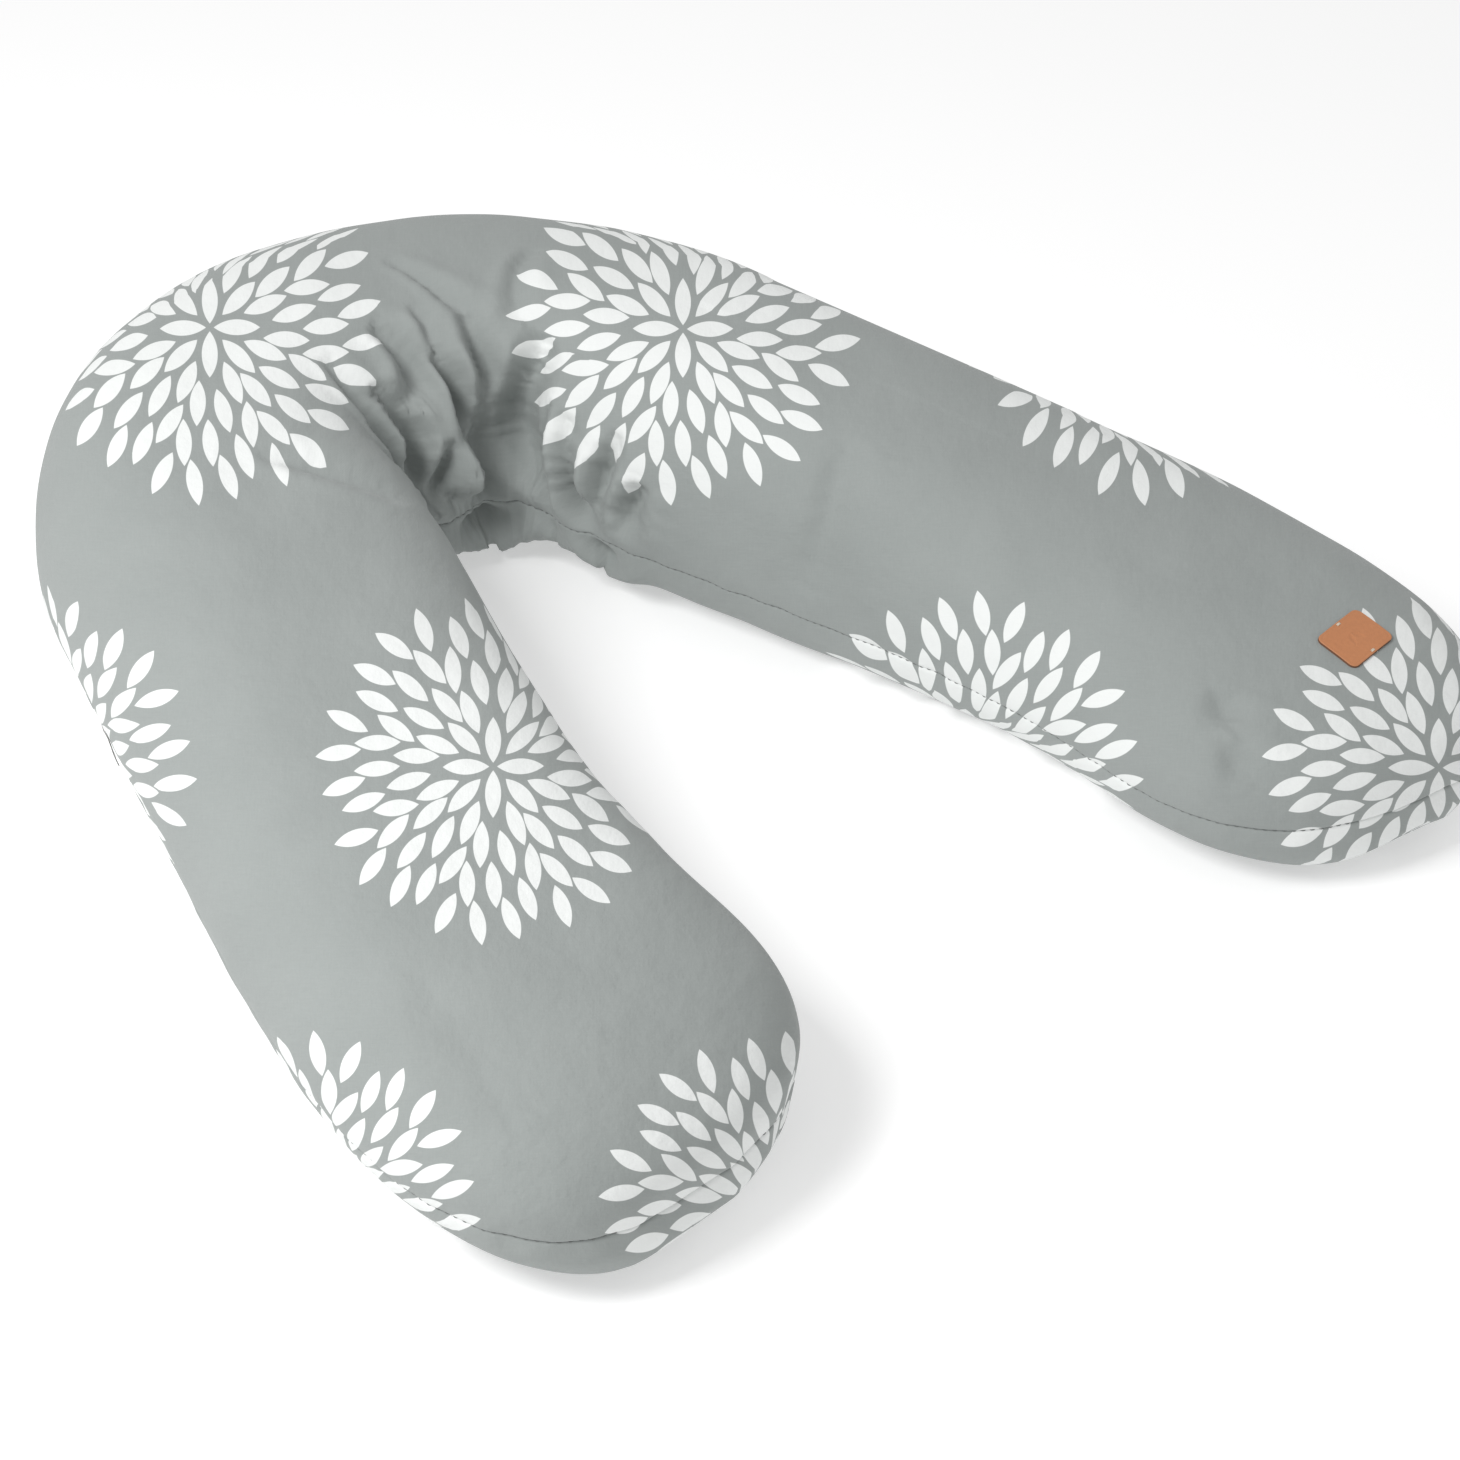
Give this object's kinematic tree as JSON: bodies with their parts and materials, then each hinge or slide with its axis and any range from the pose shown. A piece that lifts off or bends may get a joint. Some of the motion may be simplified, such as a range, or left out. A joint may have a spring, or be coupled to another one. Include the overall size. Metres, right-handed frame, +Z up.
{
  "type": "nursing pillow",
  "caption": "V-shaped nursing pillow: a bead-filled cushion in a removable printed cotton cover with a zip and a leather patch.",
  "frame": {"origin": "middle of the base of the whole pillow's bounding box, on the surface that the pillow lies on", "axes": "+Z up, +Y from the open side of the V towards the crown, +X towards the leg with the zip and the leather patch"},
  "size_m": [0.8608, 0.9938, 0.21],
  "materials": {
    "printed_cotton": "plain-weave cotton, warm grey with a white petal-rosette print, soft and matt",
    "liner_cotton": "undyed plain-weave cotton",
    "foam_beads": "white expanded-polystyrene micro-beads, loose",
    "grey_thread": "spun polyester thread, matt",
    "white_thread": "spun polyester thread, matt",
    "white_satin": "woven satin label, blank",
    "zip_tape": "herringbone polyester tape",
    "zip_nylon": "nylon coil, slightly glossy",
    "zip_metal": "nickel-plated zinc, softly polished",
    "tan_leather": "smooth tan leather, matt, with a darker cut edge",
    "tan_thread": "pale waxed thread"
  },
  "bodies": {
    "pillow": {"cover_top_panel": "printed_cotton", "cover_bottom_panel": "printed_cotton", "cover_seam_thread": "grey_thread", "cover_care_label": "white_satin", "liner_top_panel": "liner_cotton", "liner_bottom_panel": "liner_cotton", "liner_seam_thread": "white_thread", "liner_closing_stitch": "white_thread", "liner_care_label": "white_satin", "bead_filling": "foam_beads", "zip_tape_upper": "zip_tape", "zip_tape_lower": "zip_tape", "zip_coil_upper": "zip_nylon", "zip_coil_lower": "zip_nylon", "zip_top_stop_upper": "zip_metal", "zip_top_stop_lower": "zip_metal", "zip_bottom_stop": "zip_metal", "zip_stitch_upper": "grey_thread", "zip_stitch_lower": "grey_thread", "zip_bar_tack_crown": "grey_thread", "zip_bar_tack_toe": "grey_thread", "leather_patch": "tan_leather", "patch_tack_near": "tan_thread", "patch_tack_far": "tan_thread"},
    "slider": {"zip_slider_body": "zip_metal"},
    "pull_tab": {"zip_pull_tab": "zip_metal"}
  },
  "joints": [
    {"name": "zip_slide", "type": "slide", "parent": "pillow", "child": "slider", "axis": [-0.225, 0.9744, 0], "range_m": [0, 0.2509]},
    {"name": "pull_tab_hinge", "type": "hinge", "parent": "slider", "child": "pull_tab", "pos_m": [0.3875, -0.08071, 0.05524], "axis": [-0.2283, -0.0527, -0.9722], "range_deg": [0, 180]}
  ]
}
